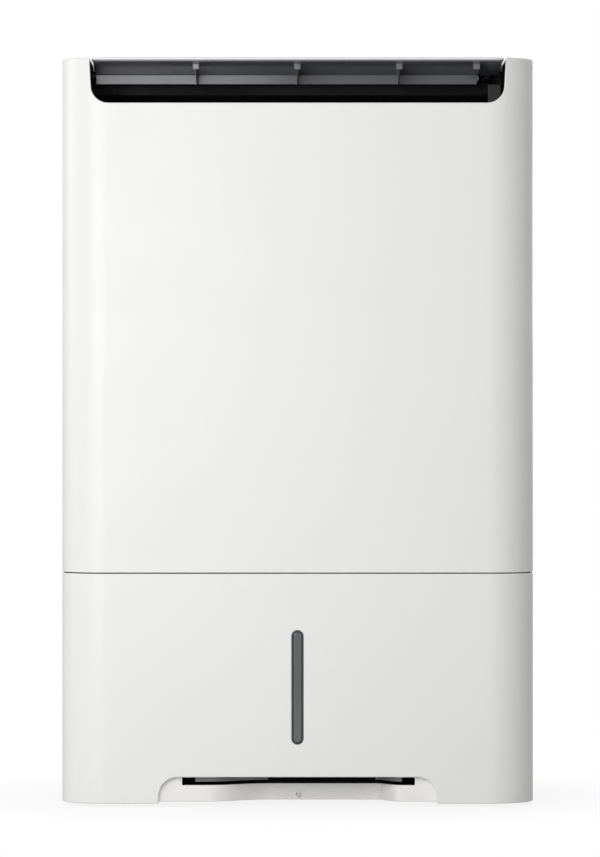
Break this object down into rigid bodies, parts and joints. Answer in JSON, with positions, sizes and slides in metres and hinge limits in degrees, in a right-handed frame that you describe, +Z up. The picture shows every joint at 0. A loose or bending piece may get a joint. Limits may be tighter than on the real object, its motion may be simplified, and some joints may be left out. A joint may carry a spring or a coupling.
{
  "type": "dehumidifier",
  "caption": "Upright domestic dehumidifier: white cabinet with a U-shaped top air outlet and flap, and a slide-out front water tank with a slim level window.",
  "frame": {"origin": "on the floor under the middle of the cabinet's outline", "axes": "+Z up, -Y out of the front face (tank and outlet side), +X to the right as seen from the front"},
  "size_m": [0.3944, 0.249, 0.623],
  "materials": {
    "shell": "fine satin moulded ABS",
    "dark_plastic": "moulded polypropylene",
    "black_plastic": "moulded ABS, fine texture",
    "dark_gloss": "glossy moulded ABS",
    "grey_plastic": "moulded ABS",
    "white_plastic": "moulded polypropylene",
    "translucent": "translucent polypropylene",
    "window": "smoked clear polycarbonate",
    "panel": "polished black acrylic",
    "buttons": "satin ABS",
    "board": "epoxy glass circuit board",
    "rubber": "moulded rubber",
    "black_paint": "black baked enamel on steel",
    "steel": "zinc plated steel",
    "copper": "drawn copper tube",
    "brass": "turned brass",
    "fins": "aluminium foil fins"
  },
  "bodies": {
    "cabinet": {"base_pan": "dark_plastic", "rubber_feet": "rubber", "front_shell": "shell", "rear_shell": "shell", "top_cover": "shell", "outlet_duct": "black_plastic", "outlet_guard": "black_plastic", "control_panel": "panel", "display_board": "board", "flap_motor": "steel", "flap_brackets": "black_plastic", "mid_deck": "dark_plastic", "bay_wall": "dark_plastic", "drip_tray": "dark_plastic", "drain_spout": "grey_plastic", "drain_spigot": "shell", "drain_hose": "rubber", "compressor": "black_paint", "compressor_grommets": "rubber", "compressor_bolts": "steel", "terminal_cover": "black_plastic", "accumulator": "black_paint", "evaporator_fins": "fins", "evaporator_tubes": "copper", "condenser_fins": "fins", "condenser_tubes": "copper", "compressor_pipes": "copper", "capillary_tube": "copper", "fan_scroll": "dark_plastic", "fan_partition": "dark_plastic", "fan_motor": "steel", "motor_mount": "steel", "control_box": "grey_plastic", "main_board": "board", "run_capacitor": "fins", "cord_gland": "black_plastic", "shell_screws": "steel", "tank_sensor": "black_plastic"},
    "fan": {"fan_wheel": "white_plastic", "fan_shaft": "steel", "fan_nut": "brass"},
    "flap": {"flap_skin": "shell", "flap_liner": "dark_gloss"},
    "tank": {"tank_bucket": "translucent", "tank_fascia": "shell", "tank_window": "window", "tank_lid": "white_plastic", "grip_scoop": "shell", "grip_pocket": "black_plastic"},
    "tank_bail": {"tank_handle": "dark_plastic"},
    "float": {"tank_float": "white_plastic", "float_magnet": "steel"},
    "intake_cover": {"intake_grille": "shell", "filter_frame": "dark_plastic"},
    "cap": {"drain_cap": "dark_plastic"},
    "top_handle": {"carry_handle": "shell"},
    "key_power": {"button_power": "buttons"},
    "key_fan": {"button_fan": "buttons"},
    "key_humidity": {"button_humidity": "buttons"},
    "key_timer": {"button_timer": "buttons"}
  },
  "joints": [
    {"name": "fan_spin", "type": "hinge", "parent": "cabinet", "child": "fan", "pos_m": [0, 0, 0.392], "axis": [0, 1, 0], "continuous": true},
    {"name": "flap_hinge", "type": "hinge", "parent": "cabinet", "child": "flap", "pos_m": [0, -0.046, 0.6123], "axis": [1, 0, 0], "range_deg": [0, 22]},
    {"name": "tank_slide", "type": "slide", "parent": "cabinet", "child": "tank", "axis": [0, -1, 0], "range_m": [0, 0.25]},
    {"name": "tank_bail_hinge", "type": "hinge", "parent": "tank", "child": "tank_bail", "pos_m": [0, -0.06, 0.1838], "axis": [-1, 0, 0], "range_deg": [0, 90]},
    {"name": "float_hinge", "type": "hinge", "parent": "tank", "child": "float", "pos_m": [-0.12, -0.01, 0.16], "axis": [-1, 0, 0], "range_deg": [0, 12]},
    {"name": "intake_hinge", "type": "hinge", "parent": "cabinet", "child": "intake_cover", "pos_m": [0, 0.1213, 0.2393], "axis": [-1, 0, 0], "range_deg": [0, 35]},
    {"name": "drain_cap_pull", "type": "slide", "parent": "cabinet", "child": "cap", "axis": [0, 1, 0], "range_m": [0, 0.15]},
    {"name": "carry_handle_hinge", "type": "hinge", "parent": "cabinet", "child": "top_handle", "pos_m": [0, 0.06, 0.616], "axis": [1, 0, 0], "range_deg": [0, 90]},
    {"name": "power_press", "type": "slide", "parent": "cabinet", "child": "key_power", "axis": [0, 0, -1], "range_m": [0, 0.0012], "stiffness_N_per_m": 400, "springref_m": -0.0008},
    {"name": "fan_press", "type": "slide", "parent": "cabinet", "child": "key_fan", "axis": [0, 0, -1], "range_m": [0, 0.0012], "stiffness_N_per_m": 400, "springref_m": -0.0008},
    {"name": "humidity_press", "type": "slide", "parent": "cabinet", "child": "key_humidity", "axis": [0, 0, -1], "range_m": [0, 0.0012], "stiffness_N_per_m": 400, "springref_m": -0.0008},
    {"name": "timer_press", "type": "slide", "parent": "cabinet", "child": "key_timer", "axis": [0, 0, -1], "range_m": [0, 0.0012], "stiffness_N_per_m": 400, "springref_m": -0.0008}
  ],
  "couplings": [
    {"joint": "tank_bail_hinge", "follows": "tank_slide", "rad_per_m": 6.28}
  ]
}
